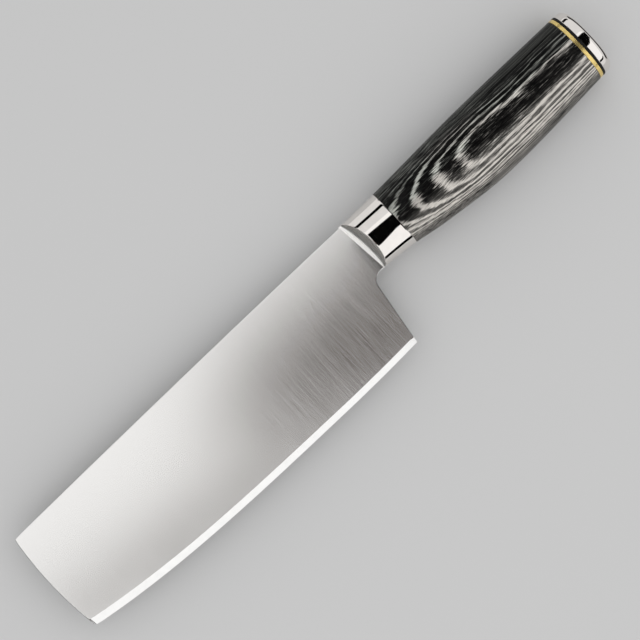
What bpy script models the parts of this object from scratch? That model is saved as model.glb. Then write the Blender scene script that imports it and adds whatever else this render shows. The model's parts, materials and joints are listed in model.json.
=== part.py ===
"""Nakiri knife: a flat vegetable knife with a forked steel bolster and a laminated wood handle.

The knife lies on its side. Along X it runs from the front of the blade to the butt, Y points to the
spine, and Z is its thickness. X = 0 is the rear face of the bolster, and Y = Z = 0 is the axis of the
rod inside the handle. At the end an empty carries all of it, so that the middle of the knife's lowest
plane is at the world's origin.
"""

import math

import bmesh
import bpy
from mathutils import Matrix, Vector

MM = 0.001

# Fit
FIT = 0.3 * MM  # clearance between neighbouring pieces
OVERSHOOT = 5.0 * MM  # how far a cutter reaches past what it cuts

# Blade, with lengths taken from the bolster's rear face and heights from the rod's axis
BLADE_REACH = 200.3 * MM
SPINE_HEIGHT = 12.7 * MM
SPINE_DROP = 1.6 * MM  # how far the shallow arc of the spine falls towards the front
SPINE_THICKNESS = 2.2 * MM
FRONT_BOW = 1.75 * MM  # sagitta of the bowed front
TOP_CORNER_RADIUS = 1.2 * MM
LOW_CORNER_RADIUS = 1.8 * MM
EDGE_DEPTH = 42.84 * MM  # lowest point of the cutting edge
EDGE_LOW_REACH = 67.5 * MM  # where that point is
EDGE_FRONT_RISE = 7.0 * MM
EDGE_FRONT_POWER = 3.3  # 1 is a straight rise, and more turns up later
EDGE_HEEL_RISE = 1.0 * MM
EDGE_THICKNESS = 0.06 * MM
BEVEL_WIDTH_FRONT = 3.2 * MM
BEVEL_WIDTH_HEEL = 2.5 * MM
BEHIND_EDGE = 0.8 * MM  # thickness at the upper line of the bevel
HEEL_REACH = 27.2 * MM
HEEL_LEAN = math.radians(8.6)
CHOIL_RADIUS = 4.8 * MM
NECK_RAMP = 4.0 * MM  # length over which the spine rises to the bolster's top

# Bolster
BOLSTER_LENGTH = 17.7 * MM  # on the rod's axis
BOLSTER_LEAN = math.radians(5.3)  # of its front line
FORK_DEPTH = 7.0 * MM
SCOOP_LENGTH = 4.7 * MM
SCOOP_RADIUS = 10.0 * MM  # of the grinding wheel
LIP = 0.45 * MM  # thickness of the bolster's front rim

# Tang, rod and bedding
TANG_HEIGHT = 7.0 * MM
TANG_IN_GRIP = 10.0 * MM
ROD_DIAMETER = 6.0 * MM
ROD_LAP = 7.0 * MM  # how much of the flat tang the rod's slit takes
BEDDING_WALL = 1.2 * MM

# Handle
GRIP_LENGTH = 97.85 * MM
WASHER_THICKNESS = 1.0 * MM
WASHER_RIM = 0.8 * MM  # beyond the corners of the nut
NUT_HEIGHT = 3.2 * MM
NUT_WALL = 2.0 * MM
RING_THICKNESS = 1.3 * MM
LINER_THICKNESS = 0.8 * MM
CAP_LENGTH = 5.6 * MM
CAP_CORNER = 3.0 * MM
CAP_CORNER_TURN = math.radians(72)  # how far the rim's arc turns before the dome takes over
CAP_DOME = 1.0 * MM
BOSS_REACH = 2.2 * MM  # how far the cap's boss goes into the wood
BOSS_WALL = 2.0 * MM
BOSS_BORE_IN_CAP = 2.0 * MM

# Outline of the handle: top over the blade's spine, bottom under the rod's axis, and half the thickness
RISE_AT_FRONT = 0.4 * MM
RISE_AT_BOLSTER = 0.55 * MM
RISE_AT_BELLY = 2.2 * MM
RISE_AT_BUTT = 2.6 * MM
BOTTOM_AT_FRONT = 11.05 * MM
BOTTOM_AT_BOLSTER = 12.65 * MM
BOTTOM_AT_THROAT = 15.0 * MM
BOTTOM_AT_BELLY = 17.7 * MM
BOTTOM_AT_BUTT = 15.0 * MM
SIDE_AT_FRONT = 8.3 * MM
SIDE_AT_BOLSTER = 9.6 * MM
SIDE_AT_BELLY = 11.8 * MM
SIDE_AT_BUTT = 12.1 * MM
THROAT_AT = 14.5 * MM  # where the underside bends down into the belly
BELLY_AT = 46.0 * MM
OVAL_POWER = 2.3  # 2 is an ellipse, and more is squarer

# Smoothness
OVAL_POINTS = 48
GRIP_STEPS = 26
BOLSTER_STEPS = 8
CURVE_STEPS = 24
CORNER_STEPS = 6
DOME_RINGS = 3
ROUND_SIDES = 40
WHEEL_SIDES = 160
SMOOTH_ANGLE = math.radians(30)  # faces that meet at less than this are shaded as one

# Places along X that follow from the sizes above
BOLSTER_FRONT = -BOLSTER_LENGTH
FORK_FLOOR = BOLSTER_FRONT + FORK_DEPTH
RAMP_START = BOLSTER_FRONT - NECK_RAMP / 2
GRIP_FRONT = FIT
GRIP_END = GRIP_FRONT + GRIP_LENGTH
RING_FRONT = GRIP_END + FIT
RING_END = RING_FRONT + RING_THICKNESS
LINER_FRONT = RING_END + FIT
LINER_END = LINER_FRONT + LINER_THICKNESS
CAP_FRONT = LINER_END + FIT
CAP_END = CAP_FRONT + CAP_LENGTH
BOSS_FRONT = GRIP_END - BOSS_REACH
NUT_END = BOSS_FRONT - FIT
NUT_FRONT = NUT_END - NUT_HEIGHT
WASHER_END = NUT_FRONT - FIT
WASHER_FRONT = WASHER_END - WASHER_THICKNESS
POCKET_FLOOR = WASHER_FRONT - FIT
TANG_END = TANG_IN_GRIP
ROD_FRONT = TANG_END - ROD_LAP
BORE_IN_CAP = CAP_FRONT + BOSS_BORE_IN_CAP
ROD_END = BORE_IN_CAP - FIT

# Radii that follow
ROD_RADIUS = ROD_DIAMETER / 2
ROD_HOLE = ROD_RADIUS + FIT
TANG_HOLE = math.hypot(TANG_HEIGHT / 2, SPINE_THICKNESS / 2) + FIT
WELD_HOLE = max(ROD_HOLE, TANG_HOLE)
BEDDING_RADIUS = WELD_HOLE + BEDDING_WALL
BORE_RADIUS = BEDDING_RADIUS + FIT
NUT_CORNER = (ROD_HOLE + NUT_WALL) / math.cos(math.pi / 6)
BOSS_RADIUS = ROD_HOLE + BOSS_WALL
WASHER_RADIUS = max(NUT_CORNER, BORE_RADIUS) + WASHER_RIM
POCKET_RADIUS = max(WASHER_RADIUS, BOSS_RADIUS) + FIT


def smooth_line(knots):
    """A function of x on a smooth curve through the knots, each an (x, value) pair."""
    slopes = [0.0] * len(knots)
    for i in range(len(knots)):
        before = knots[max(i - 1, 0)]
        after = knots[min(i + 1, len(knots) - 1)]
        slopes[i] = (after[1] - before[1]) / (after[0] - before[0])

    def value(x):
        i = 0
        while i < len(knots) - 2 and x > knots[i + 1][0]:
            i += 1
        (x0, y0), (x1, y1) = knots[i], knots[i + 1]
        span = x1 - x0
        t = (x - x0) / span
        rise = (3 - 2 * t) * t * t
        swing = slopes[i] * t * (1 - t) ** 2 - slopes[i + 1] * t * t * (1 - t)
        return y0 + (y1 - y0) * rise + span * swing

    return value


handle_top = smooth_line([
    (BOLSTER_FRONT, SPINE_HEIGHT + RISE_AT_FRONT),
    (0, SPINE_HEIGHT + RISE_AT_BOLSTER),
    (BELLY_AT, SPINE_HEIGHT + RISE_AT_BELLY),
    (CAP_END, SPINE_HEIGHT + RISE_AT_BUTT),
])
handle_bottom = smooth_line([
    (BOLSTER_FRONT, -BOTTOM_AT_FRONT),
    (0, -BOTTOM_AT_BOLSTER),
    (THROAT_AT, -BOTTOM_AT_THROAT),
    (BELLY_AT, -BOTTOM_AT_BELLY),
    (CAP_END, -BOTTOM_AT_BUTT),
])
handle_side = smooth_line([
    (BOLSTER_FRONT, SIDE_AT_FRONT),
    (0, SIDE_AT_BOLSTER),
    (BELLY_AT, SIDE_AT_BELLY),
    (CAP_END, SIDE_AT_BUTT),
])


def steps(start, end, count):
    """Evenly spaced values from start to end, both included."""
    return [start + (end - start) * i / count for i in range(count + 1)]


def new_material(name, colour, roughness, metallic):
    material = bpy.data.materials.new(name)
    material.use_nodes = True
    shader = material.node_tree.nodes["Principled BSDF"]
    shader.inputs["Base Color"].default_value = (*colour, 1.0)
    shader.inputs["Roughness"].default_value = roughness
    shader.inputs["Metallic"].default_value = metallic
    material.diffuse_color = (*colour, 1.0)
    return material


def new_object(name, bm, material, collection):
    """A mesh object from bm, with its faces turned outward and its round faces shaded smooth."""
    bmesh.ops.recalc_face_normals(bm, faces=bm.faces)
    mesh = bpy.data.meshes.new(name)
    bm.to_mesh(mesh)
    bm.free()
    mesh.shade_smooth()
    mesh.set_sharp_from_angle(angle=SMOOTH_ANGLE)
    if material:
        mesh.materials.append(material)
    obj = bpy.data.objects.new(name, mesh)
    collection.objects.link(obj)
    return obj


def loft(rings):
    """A closed skin over rings of as many points each, with a flat face on the first and the last."""
    bm = bmesh.new()
    rows = [[bm.verts.new(point) for point in ring] for ring in rings]
    for near, far in zip(rows, rows[1:]):
        for i in range(len(near)):
            bm.faces.new((near[i - 1], near[i], far[i], far[i - 1]))
    bm.faces.new(rows[0])
    bm.faces.new(rows[-1])
    return bm


def oval(x, inset=0.0, lean=0.0):
    """The handle's outline at x, drawn in by inset, with its top leaning forward."""
    top = handle_top(x - lean * handle_top(x)) - inset
    bottom = handle_bottom(x - lean * handle_bottom(x)) + inset
    side = handle_side(x) - inset
    middle, half = (top + bottom) / 2, (top - bottom) / 2
    ring = []
    for i in range(OVAL_POINTS):
        angle = math.tau * i / OVAL_POINTS
        c, s = math.cos(angle), math.sin(angle)
        y = middle + half * math.copysign(abs(c) ** (2 / OVAL_POWER), c)
        z = side * math.copysign(abs(s) ** (2 / OVAL_POWER), s)
        ring.append(Vector((x - lean * y, y, z)))
    return ring


def moved_back(ring, distance):
    return [point + Vector((distance, 0, 0)) for point in ring]


def tube_along_x(radius, start, end, sides=ROUND_SIDES):
    upright_to_x = Matrix.Rotation(math.pi / 2, 4, "Y")
    place = Matrix.Translation(((start + end) / 2, 0, 0)) @ upright_to_x
    bm = bmesh.new()
    bmesh.ops.create_cone(
        bm,
        cap_ends=True,
        segments=sides,
        radius1=radius,
        radius2=radius,
        depth=end - start,
        matrix=place,
    )
    return bm


def block(low, high):
    """A box between two opposite corners."""
    low, high = Vector(low), Vector(high)
    bm = bmesh.new()
    bmesh.ops.create_cube(bm, size=1.0)
    bmesh.ops.scale(bm, verts=bm.verts, vec=high - low)
    bmesh.ops.translate(bm, verts=bm.verts, vec=(low + high) / 2)
    return bm


def combine(obj, bm, name, cutters, operation="DIFFERENCE"):
    """Takes the shape in bm away from the object, or joins it on. The shape follows the object."""
    helper = new_object(name, bm, None, cutters)
    helper.parent = obj
    helper.hide_render = True
    helper.display_type = "WIRE"
    boolean = obj.modifiers.new(name, "BOOLEAN")
    boolean.operation = operation
    boolean.solver = "EXACT"
    boolean.object = helper


# Blade


def spine(x):
    """Height of the spine: a shallow arc, then a short ramp up to the bolster's top."""
    along = max(RAMP_START - x, 0) / (BLADE_REACH + RAMP_START)
    rise = min(max((x - RAMP_START) / NECK_RAMP, 0), 1)
    ease = rise * rise * (3 - 2 * rise)
    arc = SPINE_HEIGHT - SPINE_DROP * along**2
    return arc + (handle_top(max(x, BOLSTER_FRONT)) - SPINE_HEIGHT) * ease


def cutting_edge(x):
    """Height of the cutting edge: nearly straight, with a late rise to the front and a slight heel."""
    reach = -x - EDGE_LOW_REACH
    if reach > 0:
        return EDGE_FRONT_RISE * (reach / (BLADE_REACH - EDGE_LOW_REACH)) ** EDGE_FRONT_POWER - EDGE_DEPTH
    return EDGE_HEEL_RISE * (reach / (EDGE_LOW_REACH - HEEL_REACH)) ** 2 - EDGE_DEPTH


def bevel_line(x):
    share = (-x - HEEL_REACH) / (BLADE_REACH - HEEL_REACH)
    return cutting_edge(x) + BEVEL_WIDTH_HEEL + (BEVEL_WIDTH_FRONT - BEVEL_WIDTH_HEEL) * share


def half_thickness(y):
    """Half of the blade's thickness: a flat taper from the spine to the bevel."""
    bevel_y = bevel_line(-HEEL_REACH)
    share = (y - bevel_y) / (SPINE_HEIGHT - bevel_y)
    return (BEHIND_EDGE + (SPINE_THICKNESS - BEHIND_EDGE) * share) / 2


def blade_front(y):
    """X of the bowed front at a height."""
    top, low = spine(-BLADE_REACH), cutting_edge(-BLADE_REACH)
    share = (y - (top + low) / 2) / ((top - low) / 2)
    return -BLADE_REACH + FRONT_BOW * share * share


def heel(y):
    """X of the leaning heel at a height."""
    return -HEEL_REACH + math.tan(HEEL_LEAN) * (y - cutting_edge(-HEEL_REACH))


def rounded(before, corner, after, radius):
    """Points of an arc that rounds the corner between the directions to its neighbours."""
    before, corner, after = Vector(before), Vector(corner), Vector(after)
    back, on = (before - corner).normalized(), (after - corner).normalized()
    half_angle = back.angle(on) / 2
    centre = corner + (back + on).normalized() * radius / math.sin(half_angle)
    start = corner + back * radius / math.tan(half_angle) - centre
    sweep = start.angle_signed(corner + on * radius / math.tan(half_angle) - centre)
    return [centre + Matrix.Rotation(-angle, 2) @ start for angle in steps(0, sweep, CORNER_STEPS)]


def blade_outline(lower_line):
    """The blade's side outline, from the tang forward along the spine and back along lower_line."""
    neck_end = FORK_FLOOR - FIT
    points = [Vector((x, TANG_HEIGHT / 2)) for x in (TANG_END, neck_end)]
    points += [Vector((x, spine(x))) for x in steps(neck_end, RAMP_START, CORNER_STEPS)]

    top_y = spine(-BLADE_REACH)
    top_corner = (blade_front(top_y), top_y)
    top_before = (RAMP_START, SPINE_HEIGHT)
    low_y = lower_line(-BLADE_REACH)
    low_corner = (blade_front(low_y), low_y)
    mid_y = (top_y + low_y) / 2

    top_round = rounded(top_before, top_corner, (blade_front(mid_y), mid_y), TOP_CORNER_RADIUS)
    low_round = rounded(
        (blade_front(mid_y), mid_y),
        low_corner,
        (low_corner[0] + LOW_CORNER_RADIUS, lower_line(low_corner[0] + LOW_CORNER_RADIUS)),
        LOW_CORNER_RADIUS,
    )
    points += [Vector((x, spine(x))) for x in steps(RAMP_START, top_round[0].x, CURVE_STEPS)[1:-1]]
    points += top_round
    front_heights = steps(top_round[-1].y, low_round[0].y, CURVE_STEPS)[1:-1]
    points += [Vector((blade_front(y), y)) for y in front_heights]
    points += low_round
    heel_y = lower_line(-HEEL_REACH)
    points += [Vector((x, lower_line(x))) for x in steps(low_round[-1].x, heel(heel_y), CURVE_STEPS)[1:]]

    neck_y = handle_bottom(BOLSTER_FRONT)
    points += rounded((heel(heel_y), heel_y), (heel(neck_y), neck_y), (neck_end, neck_y), CHOIL_RADIUS)
    points += [Vector((x, handle_bottom(x))) for x in steps(BOLSTER_FRONT, neck_end, CORNER_STEPS)]
    points += [Vector((x, -TANG_HEIGHT / 2)) for x in (neck_end, TANG_END)]
    return points


def make_blade(parts):
    """Two flat cheeks that end at the bevel's upper line, with the full outline at the edge between them."""
    steel = new_material("satin_blade_steel", (0.60, 0.59, 0.57), roughness=0.34, metallic=1.0)
    cheek, full = blade_outline(bevel_line), blade_outline(cutting_edge)
    near_edge = EDGE_THICKNESS / 2
    rings = [
        [(p.x, p.y, half_thickness(p.y)) for p in cheek],
        [(p.x, p.y, near_edge) for p in full],
        [(p.x, p.y, -near_edge) for p in full],
        [(p.x, p.y, -half_thickness(p.y)) for p in cheek],
    ]
    bm = loft(rings)
    split_off_neck(bm)
    return new_object("blade", bm, steel, parts)


def split_off_neck(bm):
    """Ends both cheek faces in front of the bolster, so that no face runs on under it."""
    cheeks = sorted(bm.faces, key=lambda face: face.calc_area())[-2:]
    for cheek in cheeks:
        top = min(cheek.verts, key=lambda vert: math.dist(vert.co.xy, (RAMP_START, SPINE_HEIGHT)))
        low = min(cheek.verts, key=lambda vert: math.dist(vert.co.xy, (BOLSTER_FRONT, -BOTTOM_AT_FRONT)))
        bmesh.utils.face_split(cheek, top, low)


# Bolster


def slot_for_neck():
    """The fork's gap: it keeps FIT from both tapering cheeks of the blade's neck."""
    bm = block(
        (BOLSTER_FRONT - OVERSHOOT, handle_bottom(0) - OVERSHOOT, -1),
        (FORK_FLOOR, handle_top(0) + OVERSHOOT, 1),
    )
    for vert in bm.verts:
        vert.co.z *= half_thickness(vert.co.y) + FIT
    return bm


def slot_for_tang():
    half_height, half_width = TANG_HEIGHT / 2 + FIT, half_thickness(TANG_HEIGHT / 2) + FIT
    return block(
        (BOLSTER_FRONT, -half_height, -half_width),
        (OVERSHOOT, half_height, half_width),
    )


def scoop_wheel(side):
    """The grinding wheel that hollows one cheek of the bolster, from its thin front lip to the full oval."""
    front = Vector((BOLSTER_FRONT, half_thickness(0) + FIT + LIP))
    crest_x = BOLSTER_FRONT + SCOOP_LENGTH
    crest = Vector((crest_x, handle_side(crest_x)))
    chord = crest - front
    out = Vector((-chord.y, chord.x)).normalized()
    centre = (front + crest) / 2 + out * math.sqrt(SCOOP_RADIUS**2 - chord.length_squared / 4)
    reach = max(handle_top(0), -handle_bottom(0)) + OVERSHOOT
    bm = tube_along_x(SCOOP_RADIUS, -reach, reach, WHEEL_SIDES)
    upright = Matrix.Rotation(math.pi / 2 + BOLSTER_LEAN, 4, "Z")
    place = Matrix.Translation((centre.x, 0, side * centre.y))
    bmesh.ops.transform(bm, verts=bm.verts, matrix=place @ upright)
    return bm


def make_bolster(parts, cutters):
    steel = new_material("polished_steel", (0.78, 0.77, 0.75), roughness=0.08, metallic=1.0)
    rings = []
    for x in steps(BOLSTER_FRONT, 0, BOLSTER_STEPS):
        rings.append(oval(x, lean=math.tan(BOLSTER_LEAN) * x / BOLSTER_FRONT))
    bolster = new_object("bolster", loft(rings), steel, parts)
    combine(bolster, slot_for_neck(), "cut_neck_slot", cutters)
    combine(bolster, slot_for_tang(), "cut_tang_slot", cutters)
    combine(bolster, scoop_wheel(1), "cut_scoop_left", cutters)
    combine(bolster, scoop_wheel(-1), "cut_scoop_right", cutters)
    return bolster


# Handle


def make_grip(parts, cutters):
    wood = new_material("laminated_wood", (0.10, 0.10, 0.10), roughness=0.35, metallic=0.0)
    grip = new_object("grip", loft([oval(x) for x in steps(GRIP_FRONT, GRIP_END, GRIP_STEPS)]), wood, parts)
    past_end = GRIP_END + OVERSHOOT
    combine(grip, tube_along_x(BORE_RADIUS, GRIP_FRONT - OVERSHOOT, past_end), "cut_bore", cutters)
    combine(grip, tube_along_x(POCKET_RADIUS, POCKET_FLOOR, past_end), "cut_nut_pocket", cutters)
    return grip


def make_plate(name, start, end, material, parts, cutters):
    """A plate across the handle with a hole for the cap's boss."""
    plate = new_object(name, loft([oval(start), oval(end)]), material, parts)
    hole = tube_along_x(BOSS_RADIUS + FIT, start - OVERSHOOT, end + OVERSHOOT)
    combine(plate, hole, f"cut_{name}", cutters)
    return plate


def make_end_cap(parts, cutters):
    """A shallow cap with a rounded rim and a slightly domed face, and a hollow boss at its front."""
    steel = new_material("polished_cap_steel", (0.78, 0.76, 0.74), roughness=0.08, metallic=1.0)
    rim_start = CAP_END - CAP_DOME - CAP_CORNER
    rings = [oval(CAP_FRONT), oval(rim_start)]
    for angle in steps(0, CAP_CORNER_TURN, CORNER_STEPS)[1:]:
        inset = CAP_CORNER * (1 - math.cos(angle))
        rings.append(moved_back(oval(rim_start, inset), CAP_CORNER * math.sin(angle)))
    rim = rings[-1]
    rim_x = rim[0].x
    for share in steps(1, 0, DOME_RINGS + 1)[1:-1]:
        height = (CAP_END - rim_x) * (1 - share * share)
        rings.append([Vector((rim_x + height, p.y * share, p.z * share)) for p in rim])
    cap = new_object("end_cap", loft(rings), steel, parts)
    combine(cap, tube_along_x(BOSS_RADIUS, BOSS_FRONT, BORE_IN_CAP), "join_boss", cutters, "UNION")
    combine(cap, tube_along_x(ROD_HOLE, BOSS_FRONT - OVERSHOOT, BORE_IN_CAP), "cut_boss_bore", cutters)
    return cap


# Inside the handle


def make_tang_rod(parts, cutters):
    steel = new_material("plain_steel", (0.45, 0.45, 0.46), roughness=0.45, metallic=1.0)
    rod = new_object("tang_rod", tube_along_x(ROD_RADIUS, ROD_FRONT, ROD_END), steel, parts)
    half_width = half_thickness(TANG_HEIGHT / 2) + FIT
    reach = ROD_RADIUS + OVERSHOOT
    slit = block((ROD_FRONT - OVERSHOOT, -reach, -half_width), (TANG_END + FIT, reach, half_width))
    combine(rod, slit, "cut_rod_slit", cutters)
    return rod


def make_tang_bedding(parts):
    """The glue round the tang: wide inside over the weld, then close round the rod."""
    glue = new_material("cured_glue", (0.55, 0.50, 0.38), roughness=0.5, metallic=0.0)
    step = TANG_END + FIT
    profile = [
        (GRIP_FRONT, BEDDING_RADIUS),
        (GRIP_FRONT, WELD_HOLE),
        (step, WELD_HOLE),
        (step, ROD_HOLE),
        (POCKET_FLOOR, ROD_HOLE),
        (POCKET_FLOOR, BEDDING_RADIUS),
    ]
    rings = []
    for i in range(ROUND_SIDES):
        turn = Matrix.Rotation(math.tau * i / ROUND_SIDES, 3, "X")
        rings.append([turn @ Vector((x, radius, 0)) for x, radius in profile])
    bm = bmesh.new()
    rows = [[bm.verts.new(point) for point in ring] for ring in rings]
    for i, row in enumerate(rows):
        before = rows[i - 1]
        for j in range(len(row)):
            bm.faces.new((before[j - 1], before[j], row[j], row[j - 1]))
    return new_object("tang_bedding", bm, glue, parts)


def make_washer_and_nut(parts, cutters):
    steel = new_material("zinc_plated_steel", (0.55, 0.56, 0.58), roughness=0.35, metallic=1.0)
    washer = new_object("tang_washer", tube_along_x(WASHER_RADIUS, WASHER_FRONT, WASHER_END), steel, parts)
    combine(washer, tube_along_x(ROD_HOLE, WASHER_FRONT - OVERSHOOT, NUT_END), "cut_washer_hole", cutters)
    nut = new_object("tang_nut", tube_along_x(NUT_CORNER, NUT_FRONT, NUT_END, sides=6), steel, parts)
    combine(nut, tube_along_x(ROD_HOLE, WASHER_FRONT, NUT_END + OVERSHOOT), "cut_nut_hole", cutters)


def stand_on_origin(parts):
    """Parents all parts to an empty that puts the middle of their lowest plane at the origin."""
    root = bpy.data.objects.new("nakiri_knife_root", None)
    parts.objects.link(root)
    corners = []
    for obj in parts.objects:
        if obj.type == "MESH":
            obj.parent = root
            corners += [Vector(corner) for corner in obj.bound_box]
    low = Vector(min(corner[axis] for corner in corners) for axis in range(3))
    high = Vector(max(corner[axis] for corner in corners) for axis in range(3))
    root.location = (-(low.x + high.x) / 2, -(low.y + high.y) / 2, -low.z)


def main():
    for obj in list(bpy.data.objects):
        bpy.data.objects.remove(obj)
    parts = bpy.data.collections.new("nakiri_knife")
    cutters = bpy.data.collections.new("cutters")
    bpy.context.scene.collection.children.link(parts)
    bpy.context.scene.collection.children.link(cutters)

    make_blade(parts)
    make_bolster(parts, cutters)
    make_grip(parts, cutters)
    brass = new_material("brass", (0.80, 0.62, 0.25), roughness=0.2, metallic=1.0)
    make_plate("spacer_ring", RING_FRONT, RING_END, brass, parts, cutters)
    fibre = new_material("black_fibre", (0.02, 0.02, 0.02), roughness=0.6, metallic=0.0)
    make_plate("fibre_liner", LINER_FRONT, LINER_END, fibre, parts, cutters)
    make_end_cap(parts, cutters)
    make_tang_rod(parts, cutters)
    make_tang_bedding(parts)
    make_washer_and_nut(parts, cutters)
    stand_on_origin(parts)


main()
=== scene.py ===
"""Finished looks for a packed nakiri knife: satin and polished steel, brass, fibre and laminated wood.

The file is laid out as an add-on and run as a script. main() calls its operators in order. Sizes are in
metres in the knife's own frame, as in the part's source: X = 0 is the rear face of the bolster, Y = Z = 0 is
the axis of the rod in the handle, Y points to the spine, and Z is the thickness. ORIGIN is where that frame
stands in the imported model.
"""

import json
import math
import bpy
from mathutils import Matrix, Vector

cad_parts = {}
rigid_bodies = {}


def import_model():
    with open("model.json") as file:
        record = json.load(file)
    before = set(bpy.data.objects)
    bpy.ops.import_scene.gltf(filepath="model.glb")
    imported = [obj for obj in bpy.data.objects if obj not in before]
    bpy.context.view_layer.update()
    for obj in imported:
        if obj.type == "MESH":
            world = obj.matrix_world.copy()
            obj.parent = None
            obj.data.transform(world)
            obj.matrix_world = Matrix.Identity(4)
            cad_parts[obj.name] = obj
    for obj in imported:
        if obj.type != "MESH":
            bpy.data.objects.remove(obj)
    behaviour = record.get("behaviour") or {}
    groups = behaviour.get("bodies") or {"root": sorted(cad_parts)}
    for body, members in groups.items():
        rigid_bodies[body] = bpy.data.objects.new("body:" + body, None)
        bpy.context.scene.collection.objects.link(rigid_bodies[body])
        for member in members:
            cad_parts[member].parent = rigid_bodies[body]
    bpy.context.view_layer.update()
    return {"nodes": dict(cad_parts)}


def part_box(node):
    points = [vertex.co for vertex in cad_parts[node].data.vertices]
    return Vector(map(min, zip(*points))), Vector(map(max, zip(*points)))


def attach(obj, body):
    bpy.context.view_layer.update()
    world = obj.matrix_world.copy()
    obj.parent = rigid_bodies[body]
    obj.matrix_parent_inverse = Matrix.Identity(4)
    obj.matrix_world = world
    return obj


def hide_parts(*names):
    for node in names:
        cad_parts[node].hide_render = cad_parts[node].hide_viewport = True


bl_info = {
    "name": "Nakiri Knife Looks",
    "version": (1, 0, 0),
    "blender": (4, 5, 0),
    "location": "3D View > Sidebar > Nakiri",
    "description": "Dresses the packed nakiri knife and sets up its studio",
    "category": "Object",
}

from functools import cached_property

import bmesh
import bpy
from mathutils import Matrix, Vector

for startup_object in list(bpy.data.objects):
    bpy.data.objects.remove(startup_object)
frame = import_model()
MM = 0.001


def box_middle(node):
    low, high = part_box(node)
    return (low + high) / 2


ORIGIN = Vector((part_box("bolster")[1].x, box_middle("tang_rod").y, box_middle("tang_rod").z))


def front_of(node):
    """X of a node's front end, in the knife's own frame."""
    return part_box(node)[0].x - ORIGIN.x


def end_of(node):
    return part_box(node)[1].x - ORIGIN.x


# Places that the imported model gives
BLADE_REACH = -front_of("blade")
TANG_END = end_of("blade")
GRIP_FRONT, GRIP_END = front_of("grip"), end_of("grip")
LINER_END = end_of("fibre_liner")
BOSS_FRONT, CAP_END = front_of("end_cap"), end_of("end_cap")
JOINT = (front_of("spacer_ring") - GRIP_END) / 2  # half of the clearance, which each visible piece takes up

# Blade
SPINE_HEIGHT = 12.7 * MM
SPINE_DROP = 1.6 * MM
SPINE_THICKNESS = 2.2 * MM
FRONT_BOW = 1.75 * MM
TOP_CORNER_RADIUS = 1.2 * MM
LOW_CORNER_RADIUS = 1.8 * MM
EDGE_DEPTH = 42.84 * MM
EDGE_LOW_REACH = 67.5 * MM
EDGE_FRONT_RISE = 7.0 * MM
EDGE_FRONT_POWER = 3.3
EDGE_HEEL_RISE = 1.0 * MM
EDGE_THICKNESS = 0.06 * MM
BEVEL_WIDTH_FRONT = 3.2 * MM
BEVEL_WIDTH_HEEL = 2.5 * MM
BEHIND_EDGE = 0.8 * MM
HEEL_REACH = 27.2 * MM
HEEL_LEAN = math.radians(8.6)
CHOIL_RADIUS = 4.8 * MM
NECK_RAMP = 4.0 * MM
NECK_END = -11.0 * MM
CORNER_RUN = 0.3 * MM  # along which the bevel's front end runs out into the rounded rim
TANG_HEIGHT = 7.0 * MM
CHEEK_TILT = 0.9995  # a face whose normal has a greater share of Z than this is part of the satin cheek
EDGE_TILT = 0.3  # and one with less than this is a steep rim, satin too. The others are polished.
BEVEL_ROUGHNESS = 0.10
SPINE_STEPS, FRONT_STEPS, EDGE_STEPS, NECK_STEPS, CHOIL_STEPS = 64, 32, 96, 12, 20

# Bolster
BOLSTER_FRONT = -17.7 * MM
BOLSTER_LEAN = math.radians(5.3)
CREST_REACH = 4.8 * MM  # how far the crest of the scoop stands behind the front line at its middle
CREST_MIDDLE = 1.2 * MM
CREST_HALF_HEIGHT = 12.4 * MM
CREST_LEAST = 0.25 * MM  # of its reach, where it runs out at the top and the bottom
SCOOP_ENTRY = 0.2 * MM  # how far the scoop's skin starts in front of the bolster
SCOOP_SINK = 0.05 * MM  # and how far inside the blade's cheek
SCOOP_START_SLOPE = 0.17
SCOOP_STEEPNESS = 5.5
CREST_BAND = 2.0 * MM  # behind the crest, where the rows still follow it
CREST_BAND_POWER = 1.5
BOLSTER_CORNER = 0.15 * MM
BOLSTER_COLUMNS = 200
SCOOP_ROWS, BAND_ROWS, BODY_ROWS, CORNER_ROWS = 36, 16, 24, 3

# Outline of the handle, as knots along X
RISE_AT_FRONT = 0.4 * MM
RISE_AT_BOLSTER = 0.55 * MM
RISE_AT_BELLY = 2.2 * MM
RISE_AT_BUTT = 2.6 * MM
BOTTOM_AT_FRONT = 11.05 * MM
BOTTOM_AT_BOLSTER = 12.65 * MM
BOTTOM_AT_THROAT = 15.0 * MM
BOTTOM_AT_BELLY = 17.7 * MM
BOTTOM_AT_BUTT = 15.0 * MM
SIDE_AT_FRONT = 8.3 * MM
SIDE_AT_BOLSTER = 9.6 * MM
SIDE_AT_BELLY = 11.8 * MM
SIDE_AT_BUTT = 12.1 * MM
THROAT_AT = 14.5 * MM
BELLY_AT = 46.0 * MM
OVAL_POWER = 2.3
SKIN = 0.001 * MM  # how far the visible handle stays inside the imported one

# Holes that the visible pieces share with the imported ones
BORE_RADIUS = 5.47 * MM
POCKET_RADIUS = 7.22 * MM
POCKET_DEPTH = 7.3 * MM
BOSS_RADIUS = 5.3 * MM
BOSS_LENGTH = 5.1 * MM
BOSS_BORE_RADIUS = 3.3 * MM
BOSS_BORE_IN_CAP = 2.0 * MM
OVERSHOOT = 5.0 * MM  # how far a cutting rod reaches past the piece

# Camera and studio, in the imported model's frame
PHOTO_TURN = math.radians(-43.3)
PHOTO_CENTRE = Vector((-2.67, 4.98, 12.09)) * MM  # what the middle of the picture shows
PHOTO_WIDTH = 256.0 * MM  # what the picture spans at that height
SENSOR = 36.0
FLOOR_REACH = 6.0
CEILING_PLACE = (0.0, -1.5, 1.0)
CEILING_SIZE = (3.4, 3.6)


# Numbers that are worked out by nodes


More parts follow.
